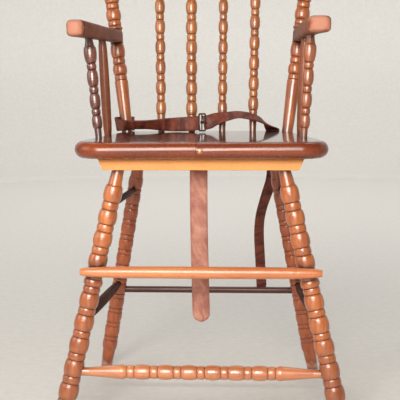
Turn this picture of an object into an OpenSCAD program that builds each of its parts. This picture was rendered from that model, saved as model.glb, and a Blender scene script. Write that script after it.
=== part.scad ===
// Turned wooden high chair with a leather waist belt, a crotch strap and a footrest.
// X runs across the chair, +Y to its back, +Z up. The feet stand on z = 0.

/* [Seat] */
// Height of the top of the seat above the floor
seat_height = 468; // [450:1:490]
// Greatest width of the seat, near its front corners
seat_width = 406; // [400:1:416]
// Depth of the seat from front to back
seat_depth = 300; // [296:1:310]
// Thickness of the two seat boards
seat_thickness = 27; // [26:1:30]

/* [Legs] */
// Half the spread of the front legs at the floor
front_foot_x = 230; // [220:1:240]
// Half the spread of the rear legs at the floor
rear_foot_x = 203; // [195:1:212]
// Radius of the largest turned bead on the front legs
front_leg_r = 16.6; // [16:0.1:17.5]
// Radius of the largest turned bead on the rear legs
rear_leg_r = 14.4; // [14:0.1:15.5]

/* [Back] */
// Length of the posts and spindles from the seat to the crest rail, along the back
back_length = 365; // [355:1:395]
// Backward lean of the back in degrees
back_lean = 10.4; // [9:0.1:12]
// Height of the crest rail at its middle
crest_height = 80; // [70:1:90]
// Thickness of the crest rail
crest_thickness = 20; // [19:1:24]

/* [Footrest and stretchers] */
// Height of the footrest above the floor
footrest_height = 259.4; // [255:0.1:264]
// Length of the footrest
footrest_length = 387; // [380:1:400]
// Height of the turned front stretcher above the floor
front_stretcher_height = 94; // [85:1:105]
// Height of the plain rear stretcher above the floor
rear_stretcher_height = 164; // [155:1:170]
// Height of the lower side stretchers above the floor
side_stretcher_height = 178; // [174:1:195]
// Height of the upper side stretchers above the floor
upper_stretcher_height = 362; // [350:1:375]

/* [Straps] */
// Width of the waist belt
belt_width = 26; // [24:1:27]
// Width of the crotch strap
crotch_width = 29; // [26:1:32]
// Thickness of the leather
leather = 3; // [2.5:0.1:3.2]

/* [Hidden] */

$fn = 48;
LEFT = -1;
RIGHT = 1;
clear = 0.1;       // gap around every tenon, screw and tack
end_gap = 0.5;     // space left past the end of every tenon

// Places are measured back from the seat's front edge and up from its top.
// This offset puts the middle of the whole chair on y = 0.
front_edge_y = -177.7;
seat_under = seat_height - seat_thickness;
function at(x, behind, rise) = [x, front_edge_y + behind, seat_height + rise];

// Colours
honey = "#b8743a";
pale_wood = "#dd9b55";
brown_wood = "#8a4f2a";
leather_brown = "#74402f";
dark_steel = "#3c3733";
old_brass = "#a98549";

// ---------- Helpers ----------
function unit(v) = v / norm(v);

// Draws along the line from one point to another: local +Z points to the second.
// The seam of every round shape lies where local +X points, clear of the flat cuts.
seam_turn = 50;
module along(from, to) {
  way = to - from;
  heading = atan2(way[1], way[0]);
  translate(from) rotate([0, acos(way[2] / norm(way)), heading]) rotate([0, 0, seam_turn - heading]) children();
}

// Draws about the middle of the line between two points
module between(a, b) {
  along((a + b) / 2, b) children();
}

// One solid through a row of rings that all have the same number of points
module loft(rings) {
  n = len(rings[0]);
  last = len(rings) - 1;
  walls = [for (i = [0:last - 1], j = [0:n - 1]) let (a = i * n + j, b = i * n + (j + 1) % n)
    each [[a, a + n, b], [b, a + n, b + n]]];
  polyhedron(
    [for (r = rings) each r],
    concat([[for (j = [0:n - 1]) j]], walls, [[for (j = [n - 1:-1:0]) last * n + j]]),
    convexity = 8);
}

// A smooth curve through a row of stations, u = 0 at the first and 1 further at each next
function station(route, i) = route[max(0, min(len(route) - 1, i))];
function smooth(a, b, c, d, t) =
  (2 * b + (c - a) * t + (2 * a - 5 * b + 4 * c - d) * t * t + (3 * b - a - 3 * c + d) * t * t * t) / 2;
function on_route(route, u) =
  let (i = min(floor(u), len(route) - 2))
  smooth(station(route, i - 1), station(route, i), station(route, i + 1), station(route, i + 2), u - i);

// ---------- Turning ----------
// One turned element is [length, radius at its start, at its middle, at its end].
function bead(length, crown, groove) = [length, groove, crown, groove];
function plain(length, first, last) = [length, first, (first + last) / 2, last];
function is_straight(e) = abs(e[2] - (e[1] + e[3]) / 2) < 0.01;
function steps_of(e) = is_straight(e) ? 1 : e[0] > 12 ? 10 : 6;
function start_of(list, i) = i == 0 ? 0 : start_of(list, i - 1) + list[i - 1][0];
function turned_length(list) = start_of(list, len(list));
function turned_point(e, start, a) = [
  e[1] + (e[3] - e[1]) * (1 - cos(a)) / 2 + (e[2] - (e[1] + e[3]) / 2) * sin(a),
  start + e[0] * (1 - cos(a)) / 2];
function turned_outline(list) = concat(
  [[0, 0]],
  [for (i = [0:len(list) - 1], k = [0:steps_of(list[i])])
    if (k > 0 || i == 0 || abs(list[i][1] - list[i - 1][3]) > 0.01)
      turned_point(list[i], start_of(list, i), 180 * k / steps_of(list[i]))],
  [[0, turned_length(list)]]);
module turned(list) {
  rotate_extrude() polygon(turned_outline(list));
}
// The same turning with every radius enlarged, to cut its seat in another part
function grown(list, by) = [for (e = list) [e[0], e[1] + by, e[2] + by, e[3] + by]];
// Long beads and short rings in turn, from their lengths; the crowns swell from one end to the other.
// ring_at is 1 if a bead comes first and 0 if a ring does.
ring_step = 1.6;          // how much less a ring stands out than a bead
groove_depth = 3.4;       // depth of the grooves between them
function spools(lengths, first_crown, last_crown, ring_at = 1) = [
  for (i = [0:len(lengths) - 1])
    let (crown = first_crown + (last_crown - first_crown) * i / (len(lengths) - 1))
    bead(lengths[i], i % 2 == ring_at ? crown - ring_step : crown, crown - groove_depth)];

// ---------- Seat ----------
seam_x = -6;
seam_gap = 0.4;
front_corner_r = 45;
rear_corner_r = 70;
rear_corner_x = 98;
corner_steps = 10;
edge_steps = 10;
front_corner = [seat_width / 2 - front_corner_r, front_corner_r];
rear_corner = [rear_corner_x, seat_depth - rear_corner_r];
// Direction that the straight side between the two corners faces
corner_line = rear_corner - front_corner;
side_facing = atan2(corner_line[1], corner_line[0]) - acos((front_corner_r - rear_corner_r) / norm(corner_line));

function corner(middle, r, first, last) = [
  for (k = [0:corner_steps]) let (a = first + (last - first) * k / corner_steps)
    [middle[0] + r * cos(a), middle[1] + r * sin(a)]];
function seat_outline(inset) = concat(
  corner(front_corner, front_corner_r - inset, -90, side_facing),
  corner(rear_corner, rear_corner_r - inset, side_facing, 90),
  corner([-rear_corner[0], rear_corner[1]], rear_corner_r - inset, 90, 180 - side_facing),
  corner([-front_corner[0], front_corner[1]], front_corner_r - inset, 180 - side_facing, 270));
function seat_ring(a) = [
  for (p = seat_outline(seat_thickness / 2 * (1 - cos(a)))) at(p[0], p[1], -seat_thickness / 2 * (1 - sin(a)))];
module seat_blank() {
  loft([for (k = [0:edge_steps]) seat_ring(-90 + 180 * k / edge_steps)]);
}

module seat_board(side) {
  color(honey) difference() {
    seat_blank();
    // the other board's half
    translate(at(seam_x + side * seam_gap / 2, -50, -50))
      mirror([side == RIGHT ? 1 : 0, 0, 0]) cube([400, 400, 100]);
    for (s = [LEFT, RIGHT]) {
      on_post(s) socket(post_foot_r);
      on_arm_post(s) socket(arm_post_foot_r);
      on_arm_spindle(s) socket(arm_spindle_end_r);
    }
    for (i = [0:3]) on_spindle(i) socket(spindle_foot_r);
    at_cleat_screws() wood_screw(cleat_screw, clear);
    at_seat_tack() tack(seat_tack_size, clear);
    at_crotch_screws() wood_screw(crotch_screw, clear);
  }
}

// How far the posts and spindles run down into the seat
tenon = 18;
module socket(r) {
  translate([0, 0, -tenon - end_gap]) cylinder(h = tenon + end_gap + 15, r = r + clear);
}

// ---------- Screws and tacks ----------
// A screw is [length, shank radius, head radius], drawn from its head along +Z
cleat_screw = [36, 2.2, 4.2];
footrest_screw = [30, 1.8, 3.4];
arm_screw = [48, 2.2, 4.4];
crotch_screw = [17, 1.6, 3.4];
module wood_screw(size, extra) {
  cylinder(h = size[0] + extra, r = size[1] + extra);
  translate([0, 0, -extra]) cylinder(h = 2.4 + extra, r1 = size[2] + extra, r2 = size[1] + extra);
  // room for a driver above the head
  if (extra > 0) translate([0, 0, -6]) cylinder(h = 6, r = size[2] + extra);
}
module slotted_screw(size) {
  difference() {
    wood_screw(size, 0);
    translate([-5, -0.4, -1]) cube([10, 0.8, 1.9]);
  }
}
// A tack is [length, shank radius, head radius], with its domed head below z = 0
seat_tack_size = [12, 1.2, 4.2];
belt_tack_size = [14, 1.2, 3.6];
module tack(size, extra) {
  translate([0, 0, -0.1]) cylinder(h = size[0] + extra, r = size[1] + extra);
  if (extra == 0) {
    dome_r = (size[2] * size[2] + 2.25) / 3;
    intersection() {
      translate([0, 0, dome_r - 1.5]) sphere(dome_r);
      translate([0, 0, -2]) cylinder(h = 2, r = size[2] + 1);
    }
  }
}

module at_cleat_screws() {
  for (behind = [front_cleat_behind, rear_cleat_behind], x = [-88, -40, 40, 88])
    translate(at(x, behind + cleat_depth / 2, -seat_thickness - cleat_height)) children();
}
module cleat_screws() {
  color(dark_steel) at_cleat_screws() slotted_screw(cleat_screw);
}
module at_seat_tack() {
  translate(at(0.5, 0, -seat_thickness / 2)) rotate([-90, 0, 0]) children();
}
module seat_tack() {
  color(old_brass) at_seat_tack() tack(seat_tack_size, 0);
}

// ---------- Cleats under the seat ----------
cleat_height = 19;
cleat_depth = 43;
cleat_slant = 8;
front_cleat_behind = 25;
rear_cleat_behind = 224;
front_cleat_half = 164;
rear_cleat_half = 150;

module cleat(behind, half) {
  translate(at(0, behind + cleat_depth, -seat_thickness)) rotate([90, 0, 0]) linear_extrude(cleat_depth)
    polygon([[-half, 0], [cleat_slant - half, -cleat_height], [half - cleat_slant, -cleat_height], [half, 0]]);
}
module front_cleat() {
  color(pale_wood) difference() {
    cleat(front_cleat_behind, front_cleat_half);
    for (s = [LEFT, RIGHT]) on_front_leg(s) leg_hole();
    at_cleat_screws() wood_screw(cleat_screw, clear);
  }
}
module rear_cleat() {
  color(pale_wood) difference() {
    cleat(rear_cleat_behind, rear_cleat_half);
    for (s = [LEFT, RIGHT]) on_rear_leg(s) leg_hole();
    at_cleat_screws() wood_screw(cleat_screw, clear);
  }
}

// ---------- Legs ----------
leg_top_r = 9.7;
leg_top_length = 24;      // plain length that fills the hole in the cleat
leg_top_gap = 3;          // the leg's top end stops this far below the seat
front_leg_top = [129, 47];
rear_leg_top = [119, 246];
front_foot_behind = 4;
rear_foot_behind = 325;
function leg_middle(top, foot, side, height) =
  let (t = (seat_under - height) / seat_under)
  at(side * (top[0] + (foot[0] - top[0]) * t), top[1] + (foot[1] - top[1]) * t, height - seat_height);
function front_leg_middle(side, height) = leg_middle(front_leg_top, [front_foot_x, front_foot_behind], side, height);
function rear_leg_middle(side, height) = leg_middle(rear_leg_top, [rear_foot_x, rear_foot_behind], side, height);
module on_front_leg(side) {
  along(front_leg_middle(side, seat_under), front_leg_middle(side, 0)) children();
}
module on_rear_leg(side) {
  along(rear_leg_middle(side, seat_under), rear_leg_middle(side, 0)) children();
}
module leg_hole() {
  translate([0, 0, -8]) cylinder(h = 42, r = leg_top_r + clear);
}

// Both kinds of leg have a plain top and neck, beads and rings in turn, and a tapered foot.
// The foot runs a little below the floor and is cut off level.
neck_end_r = 11.5;
foot_end_r = 9.4;
foot_length = 55;
front_neck = 22.5;
front_upper = [27.5, 13, 23.8, 12.7, 24.5, 12.5, 22.5];
front_lower = [13, 11, 24.8, 12, 26, 11.5, 25.7, 12.5, 26.5, 12.7, 26.3, 12.5];
drum_length = 18;         // the plain drum that the footrest is let into
drum_r = front_leg_r - 3.3;
rear_neck = 33;
rear_bead = 21.5;
rear_ring = 9;
rear_relief = 2;          // the rear legs are turned less deeply than the front ones
function leg_top(neck) = [
  plain(leg_top_length - leg_top_gap, leg_top_r, leg_top_r),
  plain(neck, leg_top_r, neck_end_r)];
front_leg_turning = concat(
  leg_top(front_neck),
  spools(front_upper, front_leg_r - 1.4, front_leg_r - 0.9),
  [plain(drum_length, drum_r, drum_r)],
  spools(front_lower, front_leg_r - 0.9, front_leg_r),
  [plain(foot_length, front_leg_r - groove_depth, foot_end_r)]);
rear_leg_turning = concat(
  leg_top(rear_neck),
  [for (i = [0:22]) let (crown = rear_leg_r - 1 + i / 22)
    i % 2 == 0 ? bead(rear_bead, crown, crown - rear_relief) : bead(rear_ring, crown - 0.5, crown - rear_relief)],
  [plain(foot_length, rear_leg_r - rear_relief, foot_end_r)]);
module leg(turning) {
  translate([0, 0, leg_top_gap]) turned(turning);
}
module above_floor() {
  difference() {
    children();
    translate([-400, -400, -100]) cube([800, 800, 100]);
  }
}
module front_leg(side) {
  color(honey) difference() {
    above_floor() on_front_leg(side) leg(front_leg_turning);
    between_front_feet() stretcher_holes(front_stretcher_half, front_stretcher_end_r);
    between_side_legs(side, side_stretcher_height)
      stretcher_holes(side_half(side_stretcher_height), side_stretcher_end_r);
    between_side_legs(side, upper_stretcher_height)
      stretcher_holes(side_half(upper_stretcher_height), upper_stretcher_end_r);
    on_footrest() turned(grown(footrest_turning, clear));
    at_footrest_screws() wood_screw(footrest_screw, clear);
  }
}
module rear_leg(side) {
  color(brown_wood) difference() {
    above_floor() on_rear_leg(side) leg(rear_leg_turning);
    between_rear_feet() stretcher_holes(rear_stretcher_half, rear_stretcher_r);
    between_side_legs(side, side_stretcher_height)
      stretcher_holes(side_half(side_stretcher_height), side_stretcher_end_r);
    between_side_legs(side, upper_stretcher_height)
      stretcher_holes(side_half(upper_stretcher_height), upper_stretcher_end_r);
  }
}

// ---------- Stretchers ----------
end_inset = 5;            // how far each stretcher's end stops short of the leg's middle
front_stretcher_end_r = 7;
rear_stretcher_r = 6.2;
side_stretcher_end_r = 5.5;
upper_stretcher_end_r = 4.6;

module between_front_feet() {
  between(front_leg_middle(LEFT, front_stretcher_height), front_leg_middle(RIGHT, front_stretcher_height))
    children();
}
module between_rear_feet() {
  between(rear_leg_middle(LEFT, rear_stretcher_height), rear_leg_middle(RIGHT, rear_stretcher_height))
    children();
}
module between_side_legs(side, height) {
  between(front_leg_middle(side, height), rear_leg_middle(side, height)) children();
}
front_stretcher_half = front_leg_middle(RIGHT, front_stretcher_height)[0] - end_inset;
rear_stretcher_half = rear_leg_middle(RIGHT, rear_stretcher_height)[0] - end_inset;
function side_half(height) =
  norm(rear_leg_middle(RIGHT, height) - front_leg_middle(RIGHT, height)) / 2 - end_inset;

// The holes that both ends of a stretcher sit in
module stretcher_holes(half, r) {
  for (end = [0, 1]) mirror([0, 0, end])
    translate([0, 0, half - 25]) cylinder(h = 25 + end_gap, r = r + clear);
}

// Seven rings with six beads between them, and long tapered ends
ring_length = 12.2;
ring_pitch = 38;
module front_stretcher() {
  run = 3 * ring_pitch + ring_length / 2;
  taper = front_stretcher_half - 22 - run;
  end = plain(22, front_stretcher_end_r, front_stretcher_end_r);
  color(honey) between_front_feet() translate([0, 0, -front_stretcher_half]) turned(concat(
    [end, plain(taper - 10, front_stretcher_end_r, 11.8), [10, 11.8, 11.6, 9.4]],
    [for (k = [0:12]) k % 2 == 0 ? bead(ring_length, 11.2, 9.4) : bead(ring_pitch - ring_length, 12.4, 9.4)],
    [[10, 9.4, 11.6, 11.8], plain(taper - 10, 11.8, front_stretcher_end_r), end]));
}
module rear_stretcher() {
  color(brown_wood) between_rear_feet()
    cylinder(h = 2 * rear_stretcher_half, r = rear_stretcher_r, center = true);
}
// A plain stick with straight ends that swells to its middle
module swelled_stick(half, end_r, middle_r) {
  translate([0, 0, -half]) turned([
    plain(20, end_r, end_r), [2 * half - 40, end_r, middle_r, end_r], plain(20, end_r, end_r)]);
}
module side_stretcher(side) {
  color(brown_wood) between_side_legs(side, side_stretcher_height)
    swelled_stick(side_half(side_stretcher_height), side_stretcher_end_r, 9);
}
module upper_side_stretcher(side) {
  color(brown_wood) between_side_legs(side, upper_stretcher_height)
    swelled_stick(side_half(upper_stretcher_height), upper_stretcher_end_r, 5.6);
}

// ---------- Footrest ----------
// It lies across the front of the front legs, let a little way into them
footrest_behind = 12.3;
footrest_turning = [
  [10, 5, 6.4, 7.2], [30, 7.2, 8.2, 8.6], [footrest_length - 80, 8.6, 9.8, 8.6], [30, 8.6, 8.2, 7.2],
  [10, 7.2, 6.4, 5]];
module on_footrest() {
  translate(at(-footrest_length / 2, footrest_behind, footrest_height - seat_height)) rotate([0, 90, 0]) children();
}
// The screws go in from behind, through each front leg into the rod
screw_sink = 1;
module at_footrest_screws() {
  for (s = [LEFT, RIGHT])
    translate(front_leg_middle(s, footrest_height) + [0, drum_r - screw_sink, 0]) rotate([90, 0, 0]) children();
}
module footrest() {
  color(pale_wood) difference() {
    on_footrest() turned(footrest_turning);
    at_footrest_screws() wood_screw(footrest_screw, clear);
  }
}
module footrest_screws() {
  color(dark_steel) at_footrest_screws() slotted_screw(footrest_screw);
}

// ---------- Back ----------
back_behind = 272;
post_x = 147.5;
post_lean_out = 7.15;
post_foot_r = 10;
post_top_r = 9;
spindle_foot_r = 6;
spindle_top_r = 5.6;
// For each spindle: distance from the middle, outward lean, crown radius, how far its pattern is raised
spindles = [[-84, -1.1, 9.5, 1.5], [-28, -0.4, 10.6, 0], [28, 0.4, 8.9, 0.5], [84, 1.1, 9.6, 8.5]];

// The back's own frame: X across, Z up along the lean from the seat's top
module on_back() {
  translate(at(0, back_behind, 0)) rotate([-back_lean, 0, 0]) children();
}
module on_post(side) {
  on_back() translate([side * post_x, 0, 0]) rotate([0, side * post_lean_out, 0]) children();
}
module on_spindle(i) {
  on_back() translate([spindles[i][0], 0, 0]) rotate([0, spindles[i][1], 0]) children();
}

arm_zone_start = 165;
arm_zone = 24;
arm_zone_r = 12;
crest_tenon = 20;
post_rise = back_length / cos(post_lean_out);
post_lower = [11.5, 19.8, 12.3, 27.4];
post_upper = [7.5, 11, 21.3, 11.4, 21.3, 11.4, 21.3, 11.4, 21.3, 11.4, 21.3];
post_lower_crown = 13.3;
post_upper_crown = 13.9;
module back_post(side) {
  lower = spools(post_lower, post_lower_crown, post_lower_crown, ring_at = 0);
  upper = spools(post_upper, post_upper_crown, post_upper_crown);
  foot = arm_zone_start - turned_length(lower) - 2;
  neck = post_rise - arm_zone_start - arm_zone - turned_length(upper) - 2;
  color(honey) difference() {
    on_post(side) translate([0, 0, -tenon]) turned(concat(
      [plain(tenon + 2, post_foot_r, post_foot_r), plain(foot, post_foot_r, 12.6)],
      lower,
      [plain(arm_zone, arm_zone_r, arm_zone_r)],
      upper,
      [plain(neck, post_upper_crown - groove_depth, post_top_r), plain(crest_tenon + 2, post_top_r, post_top_r)]));
    at_arm_screw(side) wood_screw(arm_screw, clear);
    at_belt_tack() tack(belt_tack_size, clear);
  }
}
spindle_foot = 27;
spindle_bead = 25.5;
spindle_ring = 12.3;
spindle_pairs = 8;
spindle_last_bead = 24;
module back_spindle(i) {
  crown = spindles[i][2];
  groove = crown - groove_depth;
  foot = spindle_foot + spindles[i][3];
  above = back_length - 4 - foot - spindle_pairs * (spindle_bead + spindle_ring);
  last_bead = min(spindle_last_bead, above - 2);
  color(honey) on_spindle(i) translate([0, 0, -tenon]) turned(concat(
    [plain(tenon + 2, spindle_foot_r, spindle_foot_r), plain(foot, spindle_foot_r, crown - 1.8)],
    [for (k = [1:2 * spindle_pairs])
      k % 2 == 1 ? bead(spindle_bead, crown, groove) : bead(spindle_ring, crown - 1.8, groove)],
    [bead(last_bead, crown, groove), plain(above - last_bead, groove, spindle_top_r),
     plain(crest_tenon + 2, spindle_top_r, spindle_top_r)]));
}

// ---------- Crest rail ----------
crest_half = 225;
crest_end_r = 32;
crest_shoulder = crest_half - crest_end_r;
crest_rise = crest_height - 2 * crest_end_r;
crest_arch_r = (crest_shoulder * crest_shoulder + crest_rise * crest_rise) / (2 * crest_rise);
module crest_outline() {
  for (s = [LEFT, RIGHT]) translate([s * crest_shoulder, crest_end_r]) circle(crest_end_r);
  translate([-crest_shoulder, 0]) square([2 * crest_shoulder, 2 * crest_end_r]);
  intersection() {
    translate([0, crest_height - crest_arch_r]) circle(crest_arch_r, $fn = 400);
    translate([-crest_shoulder, crest_end_r]) square([2 * crest_shoulder, crest_height]);
  }
}
module crest_rail() {
  color(honey) difference() {
    on_back() translate([0, crest_thickness / 2, back_length]) rotate([90, 0, 0])
      linear_extrude(crest_thickness) crest_outline();
    for (s = [LEFT, RIGHT]) on_post(s) translate([0, 0, post_rise - 10])
      cylinder(h = crest_tenon + 10 + end_gap, r = post_top_r + clear);
    for (i = [0:3]) on_spindle(i) translate([0, 0, back_length - 10])
      cylinder(h = crest_tenon + 10 + end_gap, r = spindle_top_r + clear);
  }
}

// ---------- Arms ----------
// Stations from the back post to the hand: [behind, inner x, outer x, middle's rise, thickness].
// The two arms were made by hand and differ a little.
arm_left_stations = [
  [296, 156, 181, 174, 23], [240, 163, 187, 175, 23], [190, 170, 195, 176, 24], [150, 175, 201, 177, 25],
  [110, 181, 208, 178, 26], [75, 186, 216, 179, 27], [57, 188, 217, 179, 27]];
arm_right_stations = [
  [296, 157, 182, 174, 23], [240, 160, 185, 176, 23], [190, 162, 188, 178, 24], [150, 163.5, 190.5, 180, 25],
  [110, 166, 197, 182, 26], [80, 169, 206, 183, 27], [57, 170, 206, 183, 27]];
function arm_stations(side) = side == LEFT ? arm_left_stations : arm_right_stations;
arm_steps = 3;
arm_hand_length = 12;     // the hand's end is rounded over this length
arm_sides = 20;
function soft(v) = sign(v) * pow(abs(v), 0.5);
// The arm's section: a rectangle with soft edges, shrunk by "fullness" where the hand is rounded off
function arm_ring(side, s, fullness) = [
  for (k = [0:arm_sides - 1]) let (a = 360 * k / arm_sides, half = (s[2] - s[1]) / 2)
    at(side * ((s[1] + s[2]) / 2 + (half - (1 - fullness) * 9) * soft(cos(a))), s[0],
       s[3] + (s[4] / 2 - (1 - fullness) * 6) * soft(sin(a)))];
function arm_rings(side) =
  let (st = arm_stations(side), last = len(st) - 1)
  concat(
    [for (k = [0:arm_steps * last - 2]) arm_ring(side, on_route(st, k / arm_steps), 1)],
    [for (a = [0:22.5:90]) let (s = on_route(st, last - 2 / arm_steps), tip = st[last])
      arm_ring(side, [tip[0] + arm_hand_length * (1 - sin(a)), s[1] + (tip[1] - s[1]) * sin(a),
                      s[2] + (tip[2] - s[2]) * sin(a), s[3], s[4]], cos(a * 0.999))]);
function reversed(list) = [for (k = [len(list) - 1:-1:0]) list[k]];
module arm_blank(side) {
  loft(side == LEFT ? arm_rings(side) : [for (r = arm_rings(side)) reversed(r)]);
}
module arm(side) {
  color(brown_wood) difference() {
    arm_blank(side);
    on_post(side) translate([0, 0, arm_zone_start - 12]) cylinder(h = arm_zone + 24, r = arm_zone_r + 0.2);
    on_arm_post(side) arm_hole(arm_post_rise(side), arm_post_top_r);
    on_arm_spindle(side) arm_hole(arm_spindle_rise(side), arm_spindle_end_r);
    at_arm_screw(side) wood_screw(arm_screw, clear);
  }
}

// The hole in an arm for the top end of a post that rises that far from the seat
module arm_hole(rise, r) {
  translate([0, 0, rise / 2]) cylinder(h = rise / 2 + end_gap, r = r + clear);
}

// Screws from behind each back post into the arm
function post_middle(rise) = [
  post_x + tan(post_lean_out) * rise / cos(back_lean), back_behind + tan(back_lean) * rise];
module at_arm_screw(side) {
  rise = 174;
  middle = post_middle(rise);
  translate(at(side * middle[0], middle[1] + arm_zone_r - 1.5, rise)) rotate([90, 0, 0]) children();
}
module arm_screws() {
  color(dark_steel) for (s = [LEFT, RIGHT]) at_arm_screw(s) slotted_screw(arm_screw);
}

// ---------- Arm posts and arm spindles ----------
arm_post_foot_r = 5.6;
arm_post_top_r = 6.4;
arm_spindle_end_r = 6.6;
arm_top_tenon = 12;
// Where each one leaves the seat, and the middle of its top end inside the arm
function arm_post_foot(side) = at(side == LEFT ? -175.5 : 168, 115, 0);
function arm_post_top(side) = at(side == LEFT ? -192.5 : 179.5, 130, side == LEFT ? 177 : 180);
function arm_spindle_foot(side) = at(side == LEFT ? -173.5 : 168, 205, 0);
function arm_spindle_top(side) = at(side == LEFT ? -181 : 174.5, 205, side == LEFT ? 176 : 177);
function arm_post_rise(side) = norm(arm_post_top(side) - arm_post_foot(side));
function arm_spindle_rise(side) = norm(arm_spindle_top(side) - arm_spindle_foot(side));
module on_arm_post(side) {
  along(arm_post_foot(side), arm_post_top(side)) children();
}
module on_arm_spindle(side) {
  along(arm_spindle_foot(side), arm_spindle_top(side)) children();
}
// Upward: neck, three beads with a ring above each, and a vase
arm_post_spools = [
  bead(22.5, 8.7, 5.8), bead(11.2, 7.8, 5.8), bead(25.3, 9.2, 6), bead(11.7, 8, 6), bead(27.8, 9.6, 6.2),
  bead(10.8, 8.4, 6.2)];
arm_post_neck = 13;
module arm_post(side) {
  vase = arm_post_rise(side) - 2 - arm_post_neck - turned_length(arm_post_spools) - arm_top_tenon - 2;
  color(honey) on_arm_post(side) translate([0, 0, -tenon]) turned(concat(
    [plain(tenon + 2, arm_post_foot_r, arm_post_foot_r), plain(arm_post_neck, arm_post_foot_r, 6)],
    arm_post_spools,
    [[vase * 0.7, 6.8, 10.8, 8.6], [vase * 0.3, 8.6, 7.2, arm_post_top_r],
     plain(arm_top_tenon + 2, arm_post_top_r, arm_post_top_r)]));
}
module arm_spindle(side) {
  color(brown_wood) on_arm_spindle(side) translate([0, 0, -tenon]) turned([
    plain(tenon + 2, arm_spindle_end_r, arm_spindle_end_r),
    [arm_spindle_rise(side) - arm_top_tenon - 6, arm_spindle_end_r, 8.5, arm_spindle_end_r],
    plain(arm_top_tenon + 4, arm_spindle_end_r, arm_spindle_end_r)]);
}

// ---------- Waist belt ----------
// Stations of the belt's middle: [x, behind, rise, lean of its width from upright in degrees]
belt_left_route = [
  [-136, 291, 13.5, 0], [-146, 291, 13.5, 0], [-156, 290, 13.5, 0], [-165.5, 282, 13.5, 2], [-167, 269, 13.5, 10],
  [-160, 256, 13.5, 28],
  [-148, 249, 13.5, 46], [-130, 247, 13.5, 52], [-105, 249, 13.5, 50], [-80, 252, 13.5, 32],
  [-55, 255, 13.7, 10], [-34, 255, 14.6, 0], [-22, 252.8, 15.6, 0], [-12.6, 249.4, 16.6, 0]];
belt_right_route = [
  [-5.5, 250.5, 16.5, 0], [5, 249.5, 18.6, -12], [17, 250, 23.6, -35], [37, 252, 28.2, -56], [57, 254, 31.3, -66],
  [77, 254, 28.7, -66], [95.5, 256, 22.7, -68], [109, 262, 14, -72], [117, 272, 7, -84], [120, 284, 3.4, -90],
  [121, 298, 2, -90]];
strap_steps = 4;
// Corners of a belt's section: w is half its width, n half its thickness
function belt_ring(route, u) =
  let (
    s = on_route(route, u),
    before = on_route(route, max(u - 0.1, 0)),
    after = on_route(route, min(u + 0.1, len(route) - 1)),
    ahead = unit(at(after[0], after[1], after[2]) - at(before[0], before[1], before[2])),
    side = unit(cross(ahead, [0, 0, 1])),
    up = cross(side, ahead),
    w = (up * cos(s[3]) + side * sin(s[3])) * belt_width / 2,
    n = unit(cross(ahead, w)) * leather / 2,
    m = at(s[0], s[1], s[2]))
  [m - w - n, m - w + n, m + w + n, m + w - n];
module belt(route) {
  count = strap_steps * (len(route) - 1);
  loft([for (k = [0:count]) belt_ring(route, k / strap_steps)]);
}
module belt_left() {
  color(leather_brown) difference() {
    belt(belt_left_route);
    at_belt_tack() tack(belt_tack_size, clear);
  }
}
module belt_right() {
  color(leather_brown) belt(belt_right_route);
}
// The tack goes through the belt's end into the back of the left post
module at_belt_tack() {
  translate(at(-144, 292.9, 13.5)) rotate([90, 0, 0]) children();
}
module belt_tack() {
  color(old_brass) at_belt_tack() tack(belt_tack_size, 0);
}

// Hanging straps: stations are [x, behind, rise, turn about the upright in degrees]
function hanging_ring(s, width) =
  let (
    w = [cos(s[3]), sin(s[3]), 0] * width / 2,
    n = [-sin(s[3]), cos(s[3]), 0] * leather / 2,
    m = at(s[0], s[1], s[2]))
  [m - w - n, m - w + n, m + w + n, m + w - n];
module hanging_strap(route, width, tip) {
  count = strap_steps * (len(route) - 1);
  end = route[len(route) - 1];
  loft(concat(
    [for (k = [0:count]) hanging_ring(on_route(route, k / strap_steps), width)],
    // rounded end
    [for (a = [18:18:72]) hanging_ring(end - [0, 0, tip * sin(a), 0], width * (1 - (1 - cos(a)) * 0.8))]));
}
belt_tail_route = [
  [121, 302.5, 0, 0], [123, 304, -22, 2], [124, 305, -60, 14], [121, 306, -90, 28], [113, 307, -115, 38],
  [101, 308, -155, 45], [97, 310, -190, 47], [99, 312, -240, 46], [103, 314, -302, 45]];
module belt_tail() {
  color(leather_brown) hanging_strap(belt_tail_route, belt_width, 8);
}

// ---------- Buckle ----------
buckle_x = -7.5;
buckle_behind = 246;
buckle_rise = 18;
buckle_width = 14;
buckle_height = 33;
buckle_rim = 2.8;
buckle_plate = 2.4;
buckle_corner_r = 3;
bar_r = 1.1;
knuckle_r = 2.6;
knuckle_height = 5;
prong_r = 0.9;
prong_forward = 2.4;      // the prong lies this far in front of the bar and rests on the rim
knuckle_gap = 1;
bar_x = buckle_x - buckle_width / 2 + buckle_rim + knuckle_r + knuckle_gap;
module rounded_plate(width, height, r) {
  square([width - 2 * r, height], center = true);
  square([width, height - 2 * r], center = true);
  for (x = [-1, 1], y = [-1, 1]) translate([x * (width / 2 - r), y * (height / 2 - r)]) circle(r);
}
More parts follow.
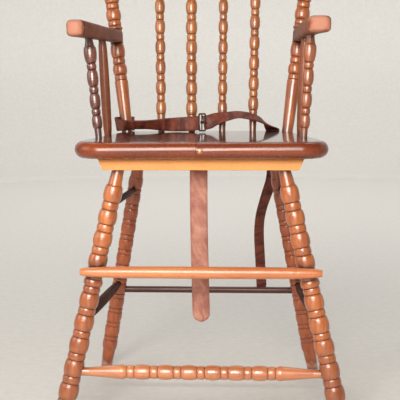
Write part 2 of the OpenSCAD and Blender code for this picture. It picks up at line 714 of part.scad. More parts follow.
// A steel frame that stands on edge, with the bar that its prong turns on
module buckle_frame() {
  color(dark_steel) {
    translate(at(buckle_x, buckle_behind + buckle_plate / 2, buckle_rise)) rotate([90, 0, 0])
      linear_extrude(buckle_plate) difference() {
        rounded_plate(buckle_width, buckle_height, buckle_corner_r);
        square([buckle_width - 2 * buckle_rim, buckle_height - 2 * buckle_rim], center = true);
      }
    translate(at(bar_x, buckle_behind, buckle_rise))
      cylinder(h = buckle_height - 2 * buckle_rim + 2, r = bar_r, center = true);
  }
}
module buckle_prong() {
  reach = buckle_x + buckle_width / 2 + 1 - bar_x;
  color(dark_steel) translate(at(bar_x, buckle_behind, buckle_rise)) difference() {
    union() {
      cylinder(h = knuckle_height, r = knuckle_r, center = true);
      translate([0, -prong_forward, 0]) rotate([0, 90, 0]) cylinder(h = reach, r = prong_r);
      translate([reach, -prong_forward, 0]) sphere(prong_r);
    }
    cylinder(h = knuckle_height + 2, r = bar_r + 0.08, center = true);
  }
}

// ---------- Crotch strap ----------
crotch_behind = 75;
crotch_x = -5;
crotch_route = [
  [-5, crotch_behind, -32.5, 0], [-5.5, crotch_behind, -90, 3], [-5, crotch_behind, -160, -3],
  [-3.5, crotch_behind, -230, 4], [-2, crotch_behind, -295, -3]];
tab_gap = 0.3;
tab_length = 30;
module at_crotch_screws() {
  for (x = [-7, 7]) translate(at(crotch_x + x, crotch_behind + 20, -seat_thickness - leather - tab_gap)) children();
}
module crotch_strap_screws() {
  color(dark_steel) at_crotch_screws() slotted_screw(crotch_screw);
}
module crotch_strap_tab() {
  color(leather_brown) difference() {
    translate(at(crotch_x - crotch_width / 2, crotch_behind, -seat_thickness - leather - tab_gap))
      cube([crotch_width, tab_length, leather]);
    at_crotch_screws() wood_screw(crotch_screw, clear);
  }
}
module crotch_strap() {
  color(leather_brown) hanging_strap(crotch_route, crotch_width, 11);
}

seat_board(LEFT);  // seat_board_left
seat_board(RIGHT);  // seat_board_right
seat_tack();
front_cleat();
rear_cleat();
cleat_screws();
front_leg(LEFT);  // front_leg_left
front_leg(RIGHT);  // front_leg_right
rear_leg(LEFT);  // rear_leg_left
rear_leg(RIGHT);  // rear_leg_right
footrest();
footrest_screws();
front_stretcher();
rear_stretcher();
side_stretcher(LEFT);  // side_stretcher_left
side_stretcher(RIGHT);  // side_stretcher_right
upper_side_stretcher(LEFT);  // upper_side_stretcher_left
upper_side_stretcher(RIGHT);  // upper_side_stretcher_right
back_post(LEFT);  // back_post_left
back_post(RIGHT);  // back_post_right
back_spindle(0);  // back_spindle_1
back_spindle(1);  // back_spindle_2
back_spindle(2);  // back_spindle_3
back_spindle(3);  // back_spindle_4
crest_rail();
arm(LEFT);  // arm_left
arm(RIGHT);  // arm_right
arm_post(LEFT);  // arm_post_left
arm_post(RIGHT);  // arm_post_right
arm_spindle(LEFT);  // arm_spindle_left
arm_spindle(RIGHT);  // arm_spindle_right
arm_screws();
belt_left();
belt_right();
belt_tail();
belt_tack();
buckle_frame();
buckle_prong();
crotch_strap();
crotch_strap_tab();
crotch_strap_screws();
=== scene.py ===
"""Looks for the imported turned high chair: varnished wood, worn leather straps, tarnished steel and brass."""
import math

import bmesh
import bpy
from mathutils import Matrix, Vector, noise


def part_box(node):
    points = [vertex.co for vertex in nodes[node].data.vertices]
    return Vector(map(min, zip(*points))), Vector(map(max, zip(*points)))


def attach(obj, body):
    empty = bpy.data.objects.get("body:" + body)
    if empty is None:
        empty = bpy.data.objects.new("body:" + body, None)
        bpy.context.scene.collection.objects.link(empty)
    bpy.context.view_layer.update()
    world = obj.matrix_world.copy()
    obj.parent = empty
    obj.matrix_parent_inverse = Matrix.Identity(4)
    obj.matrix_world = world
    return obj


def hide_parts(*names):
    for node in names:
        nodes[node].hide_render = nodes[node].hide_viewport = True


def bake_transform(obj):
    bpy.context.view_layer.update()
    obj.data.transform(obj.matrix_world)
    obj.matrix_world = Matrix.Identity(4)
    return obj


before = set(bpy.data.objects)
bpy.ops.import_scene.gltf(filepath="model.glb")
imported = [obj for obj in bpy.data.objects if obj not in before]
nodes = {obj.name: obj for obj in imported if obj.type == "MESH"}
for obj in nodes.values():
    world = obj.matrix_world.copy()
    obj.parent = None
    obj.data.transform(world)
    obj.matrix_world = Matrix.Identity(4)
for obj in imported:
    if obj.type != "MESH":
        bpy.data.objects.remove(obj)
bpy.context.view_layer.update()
MM = 0.001


# ---------- Camera ----------
# A long lens a little right of the middle and above the seat, looking slightly down.
SEAT_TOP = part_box("seat_board_left")[1].z
SEAT_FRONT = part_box("seat_board_left")[0].y
CAMERA_X = 0.073
CAMERA_BEFORE_SEAT = 1.4274
CAMERA_ABOVE_SEAT = 0.109
YAW, PITCH, ROLL = math.radians(2.91), math.radians(7.92), math.radians(-0.26)
LENS_MM = 83.1


def make_camera():
    ahead = Vector((-math.sin(YAW) * math.cos(PITCH), math.cos(YAW) * math.cos(PITCH), -math.sin(PITCH)))
    level = Vector((math.cos(YAW), math.sin(YAW), 0))
    above = level.cross(ahead)
    right = level * math.cos(ROLL) + above * math.sin(ROLL)
    up = above * math.cos(ROLL) - level * math.sin(ROLL)
    camera = bpy.data.objects.new("camera", bpy.data.cameras.new("camera"))
    camera.data.lens = LENS_MM
    camera.data.sensor_width = 36
    place = Vector((CAMERA_X, SEAT_FRONT - CAMERA_BEFORE_SEAT, SEAT_TOP + CAMERA_ABOVE_SEAT))
    camera.matrix_world = Matrix.Translation(place) @ Matrix((right, up, -ahead)).transposed().to_4x4()
    bpy.context.scene.collection.objects.link(camera)
    bpy.context.scene.camera = camera


make_camera()
bpy.context.scene.view_settings.view_transform = "Standard"


# ---------- Node helpers ----------
class Graph:
    """A material's node tree, with short calls for the nodes that the materials below share."""

    def __init__(self, name):
        self.material = bpy.data.materials.new(name)
        self.material.use_nodes = True
        self.tree = self.material.node_tree
        self.tree.nodes.clear()
        output = self.add("ShaderNodeOutputMaterial")
        self.shader = self.add("ShaderNodeBsdfPrincipled")
        self.link(self.shader.outputs["BSDF"], output.inputs["Surface"])
        self.place = self.add("ShaderNodeTexCoord").outputs["Object"]

    def add(self, kind, **settings):
        node = self.tree.nodes.new(kind)
        for key, value in settings.items():
            setattr(node, key, value)
        return node

    def link(self, source, target):
        self.tree.links.new(source, target)

    def set(self, target, value):
        if isinstance(value, bpy.types.NodeSocket):
            self.link(value, target)
        else:
            target.default_value = value

    def math(self, operation, a, b=0.0):
        node = self.add("ShaderNodeMath", operation=operation)
        for i, value in enumerate((a, b)):
            self.set(node.inputs[i], value)
        return node.outputs[0]

    def scaled(self, scale, move=(0, 0, 0)):
        node = self.add("ShaderNodeMapping")
        self.link(self.place, node.inputs["Vector"])
        node.inputs["Scale"].default_value = scale
        node.inputs["Location"].default_value = move
        return node.outputs["Vector"]

    def noise(self, vector, scale, detail=3.0, roughness=0.5, distortion=0.0):
        node = self.add("ShaderNodeTexNoise")
        self.link(vector, node.inputs["Vector"])
        node.inputs["Scale"].default_value = scale
        node.inputs["Detail"].default_value = detail
        node.inputs["Roughness"].default_value = roughness
        node.inputs["Distortion"].default_value = distortion
        return node.outputs["Fac"]

    def ramp(self, value, *stops):
        node = self.add("ShaderNodeValToRGB")
        self.link(value, node.inputs["Fac"])
        elements = node.color_ramp.elements
        while len(elements) < len(stops):
            elements.new(0.5)
        for element, (at, colour) in zip(elements, stops):
            element.position = at
            element.color = (*colour, 1)
        return node.outputs["Color"]

    def range(self, value, low, high, to_low, to_high):
        node = self.add("ShaderNodeMapRange")
        bounds = {"Value": value, "From Min": low, "From Max": high, "To Min": to_low, "To Max": to_high}
        for name, bound in bounds.items():
            self.set(node.inputs[name], bound)
        return node.outputs["Result"]

    def mix(self, factor, a, b):
        node = self.add("ShaderNodeMix", data_type="RGBA")
        self.set(node.inputs["Factor"], factor)
        for name, value in (("A", a), ("B", b)):
            socket = next(s for s in node.inputs if s.name == name and s.type == "RGBA")
            self.set(socket, value if isinstance(value, bpy.types.NodeSocket) else (*value, 1))
        return next(s for s in node.outputs if s.type == "RGBA")

    def mix_value(self, factor, a, b):
        return self.math("ADD", a, self.math("MULTIPLY", factor, self.math("SUBTRACT", b, a)))

    def bump(self, height, strength, distance, onto=None):
        node = self.add("ShaderNodeBump")
        node.inputs["Strength"].default_value = strength
        node.inputs["Distance"].default_value = distance
        self.link(height, node.inputs["Height"])
        if onto is not None:
            self.link(onto, node.inputs["Normal"])
        return node.outputs["Normal"]

    def finish(self, colour, roughness, normal, **fixed):
        self.set(self.shader.inputs["Base Color"], colour)
        self.set(self.shader.inputs["Roughness"], roughness)
        self.link(normal, self.shader.inputs["Normal"])
        for name, value in fixed.items():
            self.shader.inputs[name.replace("_", " ")].default_value = value
        return self.material


def srgb(r, g, b):
    """A colour given as the eye reads it, 0 to 255, as the linear values that shaders take."""
    return tuple(c / 12.92 if c <= 0.04045 else ((c + 0.055) / 1.055) ** 2.4
                 for c in (r / 255, g / 255, b / 255))


def halfway(a, b):
    return tuple((p + q) / 2 for p, q in zip(a, b))


# ---------- Wood ----------
GROOVE_REACH = 0.012
BEAD_REACH = 0.03
RAGGED = 0.010
PATCH_FADE = 0.004
TOP_COAT_ROUGHNESS = 0.07
COAT_IOR, TURNED_COAT_IOR = 1.6, 1.9


def wood(name, light, dark, deep, along, seed, gloss, shine, turned, table_top, wear_and_highlight, darker_below):
    """Varnished wood whose grain runs along one axis.

    light and dark are the grain's colours, deep is the darkest tone: it darkens the pores, and as painted
    shade it fills the hollows. shine is the weight of the varnish coat and the level of the wood's own
    reflection.
    Turned wood has painted shade that darkens it towards its grooves, and it is streaked with stain. A table
    top has painted shade that darkens it where it faces up, and it is glossier there. The wear-and-highlight
    argument is None or the (axis, place) below which the wood turns pale: worn varnish, and on the arm ends
    a painted highlight as well. darker_below is None or the height from which the wood turns darker down
    to the floor.
    """
    g = Graph(name)
    # a halfway tone: real stain in the streaks, painted shade towards the grooves of turned wood, and the
    # darker lower legs
    stain_and_shade = halfway(dark, deep)
    stretch = {"x": (0.05, 1, 1), "y": (1, 0.05, 1), "z": (1, 1, 0.05)}[along]
    grain_space = g.scaled(stretch, move=(seed, seed * 1.7, seed * 0.6))
    drift = g.noise(g.scaled((1, 1, 1), move=(seed, 0, seed)), 9, 2.0, 0.5)
    rings = g.noise(grain_space, 70, 4.0, 0.62, 0.35)
    fibres = g.noise(grain_space, 620, 3.0, 0.7)
    pores = g.noise(g.scaled(tuple(2.4 * s for s in stretch), move=(seed * 2, 3, seed)), 900, 1.0, 0.5)
    tone = g.math("ADD", g.math("MULTIPLY", rings, 0.62), g.math("MULTIPLY", drift, 0.38))
    colour = g.ramp(tone, (0.33, dark), (0.5, halfway(light, dark)), (0.66, light))
    colour = g.mix(g.range(fibres, 0.35, 0.7, 0.0, 0.30), colour, dark)
    colour = g.mix(g.range(pores, 0.60, 0.72, 0.0, 0.40), colour, deep)
    if turned:
        # painted shade: turned wood darkens towards its grooves over a wide reach
        bead_shade = g.add("ShaderNodeAmbientOcclusion", samples=6)
        bead_shade.inputs["Distance"].default_value = BEAD_REACH
        colour = g.mix(g.range(bead_shade.outputs["AO"], 0.70, 0.97, 0.75, 0.0), colour, stain_and_shade)
        streaks = g.noise(grain_space, 160, 3.0, 0.6)
        colour = g.mix(g.range(streaks, 0.46, 0.62, 0.0, 0.45), colour, stain_and_shade)
    parts = g.add("ShaderNodeSeparateXYZ")
    g.link(g.place, parts.inputs[0])
    if darker_below is not None:
        # the front legs turn darker towards the floor
        low = g.range(parts.outputs["Z"], darker_below / 3, darker_below, 0.45, 0.0)
        colour = g.mix(low, colour, stain_and_shade)
    if wear_and_highlight is not None:
        # pale patch: worn varnish at the rear legs' feet; at the arm ends partly wear and partly painted
        # highlight
        axis, edge = wear_and_highlight
        patches = g.noise(g.scaled((1, 1, 1), move=(seed, 1, 0)), 70, 3.0, 0.6)
        ragged = g.math("ADD", parts.outputs[axis], g.range(patches, 0.3, 0.7, -RAGGED, RAGGED))
        colour = g.mix(g.range(ragged, edge - PATCH_FADE, edge + PATCH_FADE, 0.8, 0.0), colour, WEAR_AND_HIGHLIGHT)
    # painted shade: darker towards deep in the grooves and where two pieces meet; the same mask also makes the
    # varnish rougher there
    open_sky = g.add("ShaderNodeAmbientOcclusion", samples=6)
    open_sky.inputs["Distance"].default_value = GROOVE_REACH
    hollow_shade = g.range(open_sky.outputs["AO"], 0.42, 0.90, 1.0, 0.0)
    colour = g.mix(g.math("MULTIPLY", hollow_shade, 0.85), colour, deep)
    smear = g.noise(g.scaled((1, 1, 1), move=(seed, seed, 0)), 45, 4.0, 0.6)
    roughness = g.math("ADD", g.range(smear, 0.3, 0.7, gloss, gloss + 0.16), g.math("MULTIPLY", hollow_shade, 0.25))
    coat_roughness = g.range(smear, 0.3, 0.7, gloss * 0.8, gloss)
    if table_top:
        # painted shade: the seat's top is darkened towards deep where it faces up; its varnish is also
        # glossier there
        facing = g.add("ShaderNodeSeparateXYZ")
        g.link(g.add("ShaderNodeNewGeometry").outputs["Normal"], facing.inputs[0])
        upward = g.range(facing.outputs["Z"], 0.90, 0.995, 0.0, 1.0)
        colour = g.mix(g.math("MULTIPLY", upward, 0.7), colour, deep)
        coat_roughness = g.mix_value(upward, coat_roughness, TOP_COAT_ROUGHNESS)
    normal = g.bump(fibres, 0.10, 0.0004)
    normal = g.bump(smear, 0.05, 0.002, normal)
    g.set(g.shader.inputs["Coat Roughness"], coat_roughness)
    return g.finish(colour, roughness, normal, Coat_Weight=shine[0], Specular_IOR_Level=shine[1],
                    Coat_IOR=TURNED_COAT_IOR if turned else COAT_IOR)


# Where the wood turns pale or darker, in metres: back from an arm's front, and up from the floor. The pale arm
# ends are worn and carry a painted highlight, the rear legs' feet are worn, and the front legs turn darker
# below DARK_LEG
HAND_WEAR_AND_HIGHLIGHT = 0.008
FOOT_RUBBED = 0.014
DARK_LEG = 0.17

# pale colour: worn varnish, and at the arm ends a painted highlight as well
WEAR_AND_HIGHLIGHT = srgb(200, 138, 114)
# The grain's light and dark colours, and the darkest tone, which is used for the pores and for painted shade
# in hollows
HONEY = (srgb(212, 120, 52), srgb(156, 74, 28), srgb(52, 20, 8))
SPINDLE = (srgb(206, 130, 64), srgb(154, 82, 36), srgb(46, 20, 10))
RUSSET = (srgb(196, 96, 26), srgb(146, 60, 13), srgb(50, 18, 6))
# painted shade and painted light: one wood for the arm posts, a shaded copy for the left post and a lit copy
# for the right
SHADED_ARM_POST = (srgb(136, 74, 56), srgb(94, 48, 37), srgb(34, 15, 12))
LIT_ARM_POST = (srgb(200, 112, 58), srgb(144, 74, 36), srgb(46, 20, 11))
# painted shade: a darkened copy of the wood for the stretchers that sit in shade under the seat
SHADED_STRETCHER = (srgb(88, 42, 27), srgb(58, 27, 18), srgb(24, 10, 8))
# partly the paler bare wood of the cleats, partly painted light: lightened because they are lit from the front
PALE_AND_LIT = (srgb(240, 170, 104), srgb(222, 146, 82), srgb(140, 78, 38))
ORANGE = (srgb(226, 142, 88), srgb(194, 108, 60), srgb(84, 38, 20))
SEAT = (srgb(156, 70, 28), srgb(102, 40, 15), srgb(36, 13, 6))
ARM = (srgb(162, 88, 54), srgb(116, 60, 36), srgb(40, 19, 12))


def set_material(node, material):
    data = nodes[node].data
    data.materials.clear()
    data.materials.append(material)


def seed_of(name):
    return sum((i + 1) * ord(c) for i, c in enumerate(name)) % 97 / 7


def dress_wood():
    """Each wooden piece was cut from its own stock, so each gets its own grain."""
    spindles = [f"back_spindle_{i}" for i in range(1, 5)]
    groups = [
        (HONEY, "z", 0.34, (1.0, 0.2), ["front_leg_left", "front_leg_right",
                                        "back_post_left", "back_post_right", "crest_rail"]),
        (SPINDLE, "z", 0.34, (1.0, 0.2), spindles),
        (RUSSET, "z", 0.34, (0.8, 0.2), ["rear_leg_left", "rear_leg_right"]),
        (SHADED_ARM_POST, "z", 0.32, (1.0, 0.2), ["arm_post_left"]),
        (LIT_ARM_POST, "z", 0.34, (1.0, 0.2), ["arm_post_right"]),
        (ORANGE, "x", 0.34, (1.0, 0.5), ["front_stretcher"]),
        (ARM, "z", 0.3, (0.5, 0.3), ["arm_spindle_left", "arm_spindle_right"]),
        (SHADED_STRETCHER, "y", 0.5, (0.0, 0.15), ["side_stretcher_left", "side_stretcher_right",
                                        "upper_side_stretcher_left", "upper_side_stretcher_right"]),
        (SHADED_STRETCHER, "x", 0.34, (0.4, 0.3), ["rear_stretcher"]),
        (ARM, "y", 0.42, (0.0, 0.25), ["arm_left", "arm_right"]),
        (PALE_AND_LIT, "x", 0.5, (0.0, 0.3), ["front_cleat", "rear_cleat"]),
        (ORANGE, "x", 0.32, (0.9, 0.4), ["footrest"]),
        (SEAT, "x", 0.30, (0.9, 0.15), ["seat_board_left", "seat_board_right"]),
    ]
    turned = {"front_stretcher", "arm_post_left", "arm_post_right", *spindles}
    for colours, along, gloss, shine, names in groups:
        for name in names:
            wear_and_highlight = None
            if name in ("arm_left", "arm_right"):
                wear_and_highlight = ("Y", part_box(name)[0].y + HAND_WEAR_AND_HIGHLIGHT)
            elif name.startswith("rear_leg"):
                wear_and_highlight = ("Z", FOOT_RUBBED)
            made = wood(f"wood_{name}", *colours, along, seed_of(name), gloss, shine,
                        turned=name in turned or "leg" in name or "back_post" in name,
                        table_top=name.startswith("seat_board"), wear_and_highlight=wear_and_highlight,
                        darker_below=DARK_LEG if name.startswith("front_leg") else None)
            set_material(name, made)


def soft_shading():
    """A modifier's node group that welds a CAD mesh's faces together and shades gentle angles smooth."""
    group = bpy.data.node_groups.new("soft_shading", "GeometryNodeTree")
    for way in ("INPUT", "OUTPUT"):
        group.interface.new_socket("Geometry", in_out=way, socket_type="NodeSocketGeometry")
    start = group.nodes.new("NodeGroupInput")
    forget = group.nodes.new("GeometryNodeRemoveAttribute")
    forget.inputs["Name"].default_value = "custom_normal"
    weld = group.nodes.new("GeometryNodeMergeByDistance")
    weld.inputs["Distance"].default_value = 0.00002
    faces = group.nodes.new("GeometryNodeSetShadeSmooth")
    edges = group.nodes.new("GeometryNodeSetShadeSmooth")
    edges.domain = "EDGE"
    edges.inputs["Shade Smooth"].default_value = False
    angle = group.nodes.new("GeometryNodeInputMeshEdgeAngle")
    steep = group.nodes.new("FunctionNodeCompare")
    steep.inputs["B"].default_value = math.radians(38)
    end = group.nodes.new("NodeGroupOutput")
    chain = (start, forget, weld, faces, edges, end)
    for a, b in zip(chain, chain[1:]):
        group.links.new(a.outputs[0], b.inputs[0])
    group.links.new(angle.outputs["Unsigned Angle"], steep.inputs["A"])
    group.links.new(steep.outputs["Result"], edges.inputs["Selection"])
    return group


def soften():
    """Rounds the sawn edges a little, and shades the shaped pieces without facets."""
    group = soft_shading()
    # each piece with the size of its worn edge in mm; the seat and arms are rounded in CAD
    for name, edge in (("seat_board_left", 0), ("seat_board_right", 0), ("arm_left", 0), ("arm_right", 0),
                       ("front_cleat", 0.8), ("rear_cleat", 0.8), ("crest_rail", 1.6)):
        node = nodes[name]
        node.modifiers.new("soft_shading", "NODES").node_group = group
        if edge:
            bevel = node.modifiers.new("worn_edges", "BEVEL")
            bevel.width = edge * MM
            bevel.segments = 3
            bevel.limit_method = "ANGLE"
            bevel.angle_limit = math.radians(50)
        node.modifiers.new("even_shading", "WEIGHTED_NORMAL").keep_sharp = True


# ---------- Metal ----------
def steel():
    g = Graph("tarnished_steel")
    blotch = g.noise(g.place, 260, 4.0, 0.65)
    colour = g.ramp(blotch, (0.35, srgb(40, 20, 15)), (0.55, srgb(62, 34, 26)), (0.75, srgb(88, 54, 42)))
    scratches = g.noise(g.scaled((1, 1, 0.1)), 1500, 2.0, 0.6)
    normal = g.bump(scratches, 0.05, 0.0001)
    return g.finish(colour, g.range(blotch, 0.3, 0.7, 0.48, 0.7), normal, Metallic=0.6)


def brass():
    g = Graph("worn_brass")
    tarnish = g.noise(g.place, 380, 4.0, 0.6)
    colour = g.ramp(
        tarnish, (0.35, srgb(196, 140, 104)), (0.6, srgb(236, 186, 146)), (0.8, srgb(250, 220, 190)))
    roughness = g.range(tarnish, 0.3, 0.7, 0.55, 0.28)
    return g.finish(colour, roughness, g.bump(tarnish, 0.1, 0.0002), Metallic=1.0)


dress_wood()
soften()
for metal, metal_nodes in (
        (steel(), ("cleat_screws", "footrest_screws", "arm_screws", "crotch_strap_screws",
                   "buckle_frame", "buckle_prong")),
        (brass(), ("seat_tack", "belt_tack"))):
    for metal_node in metal_nodes:
        set_material(metal_node, metal)


# ---------- Leather ----------
PRESSED_LINE = 0.0024     # how far in from a strap's edge its pressed line runs


def leather(name, face, dark, worn, half_width, diagonal=0.0):
    """Strap leather. Its map runs across (u) and along (v) the strap, in metres from the middle line."""
    g = Graph(name)
    uv = g.add("ShaderNodeUVMap").outputs["UV"]
    parts = g.add("ShaderNodeSeparateXYZ")
    g.link(uv, parts.inputs[0])
    across = g.math("ABSOLUTE", parts.outputs["X"])
    lean = g.add("ShaderNodeMapping", vector_type="TEXTURE")
    g.link(uv, lean.inputs["Vector"])
    lean.inputs["Rotation"].default_value = (0, 0, diagonal)
    lean.inputs["Scale"].default_value = (4, 0.7, 1)
    creases = g.noise(lean.outputs["Vector"], 75, 4.0, 0.6, 0.5)
    blotch = g.noise(g.place, 55, 4.0, 0.6)
    pebble = g.add("ShaderNodeTexVoronoi", feature="SMOOTH_F1")
    g.link(g.place, pebble.inputs["Vector"])
    pebble.inputs["Scale"].default_value = 1100
    fine = g.noise(g.place, 900, 3.0, 0.6)
    colour = g.ramp(blotch, (0.34, dark), (0.52, face), (0.72, worn))
    colour = g.mix(g.range(creases, 0.52, 0.62, 0.0, 0.55), colour, worn)
    colour = g.mix(g.range(creases, 0.45, 0.38, 0.0, 0.6), colour, dark)
    colour = g.mix(g.range(fine, 0.35, 0.7, 0.0, 0.25), colour, dark)
    # a pressed line runs along each edge, and the cut edges are burnished dark
    from_line = g.math("ABSOLUTE", g.math("SUBTRACT", across, half_width - PRESSED_LINE))
    line = g.range(from_line, 0.0002, 0.0006, 1.0, 0.0)
    colour = g.mix(g.math("MULTIPLY", line, 0.7), colour, dark)
    colour = g.mix(g.range(across, half_width - 0.0009, half_width - 0.0002, 0.0, 0.75), colour, dark)
    pebbles = g.math("MULTIPLY", pebble.outputs["Distance"], 0.25)
    height = g.math("ADD", pebbles, g.math("MULTIPLY", line, -0.8))
    normal = g.bump(height, 0.5, 0.0004)
    normal = g.bump(creases, 0.55, 0.0016, normal)
    return g.finish(colour, g.range(blotch, 0.3, 0.7, 0.46, 0.62), normal,
                    Coat_Weight=0.05, Coat_Roughness=0.4, Specular_IOR_Level=0.3)


def at(x, behind, rise):
    """A place in mm: across the chair, back from the seat's front edge, and up from its top."""
    return Vector((x * MM, SEAT_FRONT + behind * MM, SEAT_TOP + rise * MM))


def smooth(points, i, t):
    """The curve through a row of points, between point i and the next."""
    a, b, c, d = (points[max(0, min(len(points) - 1, k))] for k in (i - 1, i, i + 1, i + 2))
    square, cube = (2 * a - 5 * b + 4 * c - d) * t * t, (3 * b - a - 3 * c + d) * t * t * t
    return (2 * b + (c - a) * t + square + cube) / 2


def upright_station(x, behind, rise, lean, ahead):
    """A station of the waist belt: its width leans from upright about the way the belt runs."""
    side = ahead.cross(Vector((0, 0, 1))).normalized()
    up = side.cross(ahead)
    return at(x, behind, rise), up * math.cos(math.radians(lean)) + side * math.sin(math.radians(lean))


def belt_stations(route):
    places = [at(*s[:3]) for s in route]
    stations = []
    for i, s in enumerate(route):
        ahead = (places[min(i + 1, len(places) - 1)] - places[max(i - 1, 0)]).normalized()
        stations.append(upright_station(*s, ahead))
    return stations


def hanging_stations(route, facing=1):
    """Stations of a hanging strap: its width turns about the upright."""
    return [(at(x, behind, rise), facing * Vector((math.cos(math.radians(t)), math.sin(math.radians(t)), 0)))
            for x, behind, rise, t in route]


STRAP_STEPS = 10
EDGE_STEPS = 4
FACE_STEPS = 8


def strap_section(half, thick):
    """Points round a strap's section as (across, out), with rounded edges and a slightly domed face."""
    r = thick * 0.46
    flat = half - r
    dome = thick * 0.06
    face = [(flat * (2 * k / FACE_STEPS - 1), 1) for k in range(FACE_STEPS + 1)]
    points = [(a, thick / 2 + dome * (1 - (a / half) ** 2)) for a, _ in face]
    for k in range(1, EDGE_STEPS):
        angle = math.pi / 2 - math.pi * k / EDGE_STEPS
        points.append((flat + r * math.cos(angle), thick / 2 * math.sin(angle)))
    points += [(-a, -thick / 2) for a, _ in face]
    for k in range(1, EDGE_STEPS):
        angle = -math.pi / 2 - math.pi * k / EDGE_STEPS
        points.append((-flat + r * math.cos(angle), thick / 2 * math.sin(angle)))
    return points


def strap(name, stations, width, thick, tip=0.0, seed=0.0, ripple=0.35):
    """A leather strap lofted along its stations, with a rounded tip at its end if tip is given."""
    places = [s[0] for s in stations]
    widths = [s[1] for s in stations]
    samples = []
    for i in range(len(stations) - 1):
        for k in range(STRAP_STEPS + (i == len(stations) - 2)):
            t = k / STRAP_STEPS
            samples.append((smooth(places, i, t), smooth(widths, i, t)))
    along = [0.0]
    for (p, _), (q, _) in zip(samples, samples[1:]):
        along.append(along[-1] + (q - p).length)
    mesh = bmesh.new()
    uv_layer = mesh.loops.layers.uv.new("UVMap")
    rings, maps = [], {}
    for i, (place, wide) in enumerate(samples):
        ahead = (samples[min(i + 1, len(samples) - 1)][0] - samples[max(i - 1, 0)][0]).normalized()
        wide = (wide - ahead * wide.dot(ahead)).normalized()
        out = ahead.cross(wide)
        half = width / 2 * (1 + 0.012 * noise.noise(Vector((along[i] * 60, seed, 0))))
        left = along[-1] - along[i]
        if left < tip:
            half *= max(0.22, math.sqrt(1 - (1 - left / tip) ** 2))
        ring = []
        for a, b in strap_section(half, thick):
            ripples = ripple * MM * noise.noise(Vector((a * 45, along[i] * 38, seed)))
            vertex = mesh.verts.new(place + wide * a + out * (b + ripples))
            maps[vertex] = (a * width / 2 / half, along[i])
            ring.append(vertex)
        rings.append(ring)
    count = len(rings[0])
    for ring, following in zip(rings, rings[1:]):
        for k in range(count):
            mesh.faces.new((ring[k], ring[(k + 1) % count], following[(k + 1) % count], following[k]))
    mesh.faces.new(list(reversed(rings[0])))
    mesh.faces.new(rings[-1])
    for face in mesh.faces:
        face.smooth = len(face.verts) == 4
        for loop in face.loops:
            loop[uv_layer].uv = maps[loop.vert]
    bmesh.ops.recalc_face_normals(mesh, faces=mesh.faces)
    data = bpy.data.meshes.new(name)
    mesh.to_mesh(data)
    mesh.free()
    piece = bpy.data.objects.new(name, data)
    bpy.context.scene.collection.objects.link(piece)
    return piece


BELT_WIDTH, CROTCH_WIDTH, THICKNESS = 0.026, 0.029, 0.003
CREASE_TURN = 1.19
# Routes of the straps' middle lines: across, back and up in mm, then the width's turn in degrees
BELT_LEFT = [
    (-136, 291, 13.5, 0), (-146, 291, 13.5, 0), (-156, 290, 13.5, 0), (-165.5, 282, 13.5, 2),
    (-167, 269, 13.5, 10), (-160, 256, 13.5, 28), (-148, 249, 13.5, 46), (-130, 247, 13.5, 52),
    (-105, 249, 13.5, 50), (-80, 252, 13.5, 32), (-55, 255, 13.7, 10), (-34, 255, 14.6, 0),
    (-22, 252.8, 15.6, 0), (-12.6, 249.4, 16.6, 0)]
BELT_RIGHT = [
    (-5.5, 250.5, 16.5, 0), (5, 249.5, 18.6, -12), (17, 250, 23.6, -35), (37, 252, 28.2, -56),
    (57, 254, 31.3, -66), (77, 254, 28.7, -66), (95.5, 256, 22.7, -68), (109, 262, 14, -72),
    (117, 272, 7, -84), (120, 284, 3.4, -90), (121, 295, 2.2, -90)]
BELT_TAIL = [
    (121.3, 302, -1.5, 0), (122, 303.4, -9, 1), (123, 304, -22, 2), (124, 305, -60, 14),
    (121, 306, -90, 28), (113, 307, -115, 38), (101, 308, -155, 45), (97, 310, -190, 47),
    (99, 312, -240, 46), (103, 314, -310, 45)]
CROTCH_FLAT = [(-5, 105, -28.8), (-5, 92, -28.8), (-5, 80.5, -28.9)]
CROTCH = [
    (-5, 75.6, -32.5, 0), (-5.1, 75, -40, 0), (-5.5, 75, -90, 3), (-5, 75, -160, -3),
    (-3.5, 75, -230, 4), (-2, 75, -306, -3)]


def make_straps():
    dark_leather = leather("dark_leather", srgb(118, 58, 43), srgb(76, 34, 26), srgb(148, 80, 60),
                           BELT_WIDTH / 2)
    worn_leather = leather("worn_leather", srgb(172, 116, 100), srgb(148, 92, 79), srgb(196, 144, 122),
                           CROTCH_WIDTH / 2, diagonal=CREASE_TURN)
    left = strap("belt_left_leather", belt_stations(BELT_LEFT), BELT_WIDTH, THICKNESS, seed=1.0)
    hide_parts("belt_left")
    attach(left, "chair")
    right = strap("belt_right_leather", belt_stations(BELT_RIGHT) + hanging_stations(BELT_TAIL, -1),
                  BELT_WIDTH, THICKNESS, tip=0.011, seed=2.0)
    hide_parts("belt_right", "belt_tail")
    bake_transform(right)
    flat = [(at(*p), Vector((1, 0, 0))) for p in CROTCH_FLAT]
    crotch = strap("crotch_strap_leather", flat + hanging_stations(CROTCH), CROTCH_WIDTH, THICKNESS,
                   tip=0.013, seed=3.0)
    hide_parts("crotch_strap", "crotch_strap_tab")
    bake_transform(crotch)
    for piece, material in ((left, dark_leather), (right, dark_leather), (crotch, worn_leather)):
        piece.data.materials.append(material)


make_straps()


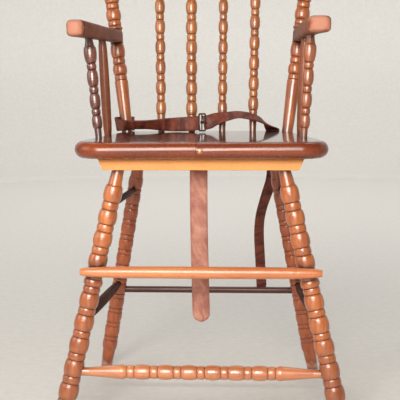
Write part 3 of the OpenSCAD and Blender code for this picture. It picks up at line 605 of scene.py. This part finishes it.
# ---------- Room ----------
def make_stage():
    """A round pale floor that turns up in a wide curve into a pale wall on every side."""
    g = Graph("studio_floor")
    grain = g.noise(g.place, 60, 4.0, 0.6)
    floor_colour = g.ramp(grain, (0.3, srgb(214, 211, 205)), (0.7, srgb(222, 219, 214)))
    material = g.finish(floor_colour, 0.55, g.bump(grain, 0.05, 0.001))
    flat_r, bend_r, wall_top, bend_steps, sides = 3.4, 1.2, 5.0, 12, 96
    profile = []
    for k in range(bend_steps + 1):
        angle = math.pi / 2 * k / bend_steps
        profile.append((flat_r + bend_r * math.sin(angle), bend_r * (1 - math.cos(angle))))
    profile.append((flat_r + bend_r, wall_top))
    turns = [2 * math.pi * i / sides for i in range(sides)]
    mesh = bmesh.new()
    rings = [[mesh.verts.new((r * math.cos(t), r * math.sin(t), z)) for t in turns] for r, z in profile]
    mesh.faces.new(rings[0])
    for low, high in zip(rings, rings[1:]):
        for i in range(sides):
            j = (i + 1) % sides
            mesh.faces.new((low[i], low[j], high[j], high[i])).smooth = True
    data = bpy.data.meshes.new("studio_floor")
    mesh.to_mesh(data)
    mesh.free()
    data.materials.append(material)
    floor = bpy.data.objects.new("studio_floor", data)
    bpy.context.scene.collection.objects.link(floor)


def area_light(name, place, aim, size, power, colour=(1, 1, 1)):
    light = bpy.data.lights.new(name, "AREA")
    light.shape = "RECTANGLE"
    light.size, light.size_y = size
    light.energy = power
    light.color = colour
    lamp = bpy.data.objects.new(name, light)
    lamp.location = place
    lamp.rotation_mode = "QUATERNION"
    lamp.rotation_quaternion = (Vector(aim) - Vector(place)).to_track_quat("-Z", "Y")
    bpy.context.scene.collection.objects.link(lamp)


def make_lights():
    world = bpy.data.worlds.new("studio")
    world.use_nodes = True
    world.node_tree.nodes["Background"].inputs["Color"].default_value = (0.86, 0.90, 0.93, 1)
    world.node_tree.nodes["Background"].inputs["Strength"].default_value = 0.10
    bpy.context.scene.world = world
    area_light("key", (-0.2, -1.75, 1.1), (0, 0, 0.5), (1.0, 1.0), 42, (1, 0.96, 0.9))
    area_light("left", (-1.9, -0.8, 1.2), (0, 0, 0.45), (1.2, 1.2), 9, (1, 0.98, 0.95))
    area_light("right", (1.7, -1.3, 1.0), (0, 0, 0.45), (1.2, 1.2), 1.5, (0.95, 0.97, 1))
    area_light("backdrop", (0, 1.6, 3.4), (0, 4.4, 0.7), (3.0, 1.2), 110, (1, 1, 1))


make_stage()
make_lights()
